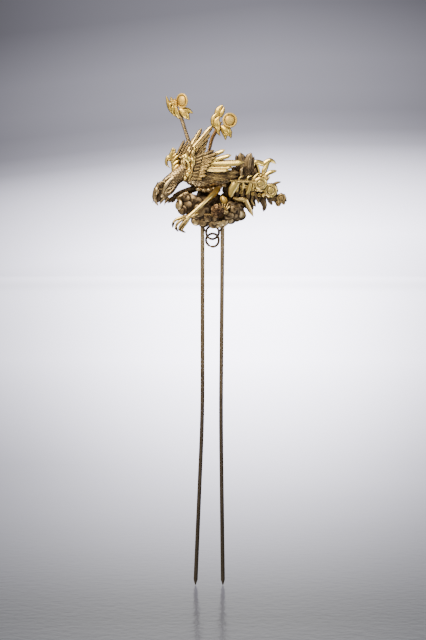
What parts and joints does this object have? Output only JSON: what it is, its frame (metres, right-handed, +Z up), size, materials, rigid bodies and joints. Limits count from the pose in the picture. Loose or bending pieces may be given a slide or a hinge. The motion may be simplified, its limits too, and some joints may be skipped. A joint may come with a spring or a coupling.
{
  "type": "buyao hairpin",
  "caption": "Gilt hair fork with a phoenix standing on clouds and blossoms, trembling ornaments on coil springs and linked rings between its prongs.",
  "frame": {"origin": "half way between the prongs right under the base, where the fork meets the hair", "axes": "+Z up along the fork towards the bird, -X where the bird looks, -Y towards the viewer"},
  "size_m": [0.0455, 0.0186, 0.1686],
  "materials": {
    "bright_gilt": "bright gilding with darker hollows",
    "warm_gilt": "warm rubbed gilding",
    "worn_gilt": "worn gilding over a dark ground",
    "dark_wire": "dull brown wire with little gilding left"
  },
  "bodies": {
    "root": {"prong_left": "worn_gilt", "prong_right": "worn_gilt", "ring_upper": "dark_wire", "ring_lower": "dark_wire", "base_dish": "worn_gilt", "cloud_mound": "worn_gilt", "cloud_left": "bright_gilt", "cloud_front": "warm_gilt", "cloud_right": "warm_gilt", "cloud_back": "worn_gilt", "blossom": "warm_gilt", "fan_leaf": "warm_gilt", "bud": "bright_gilt", "phoenix_body": "worn_gilt", "crest": "bright_gilt", "shoulder_ruff": "bright_gilt", "wing_near": "bright_gilt", "wing_far": "warm_gilt", "leg_near": "bright_gilt", "leg_far": "worn_gilt", "tail_plume_top": "bright_gilt", "tail_plume_middle": "bright_gilt", "tail_plume_low": "warm_gilt", "tail_crown": "worn_gilt", "tail_flame": "bright_gilt", "tail_leaves_low": "warm_gilt", "spring_left": "worn_gilt", "spring_right": "dark_wire", "spray_left": "bright_gilt", "spray_right": "bright_gilt", "disc_left": "warm_gilt", "disc_right": "warm_gilt"}
  },
  "joints": []
}
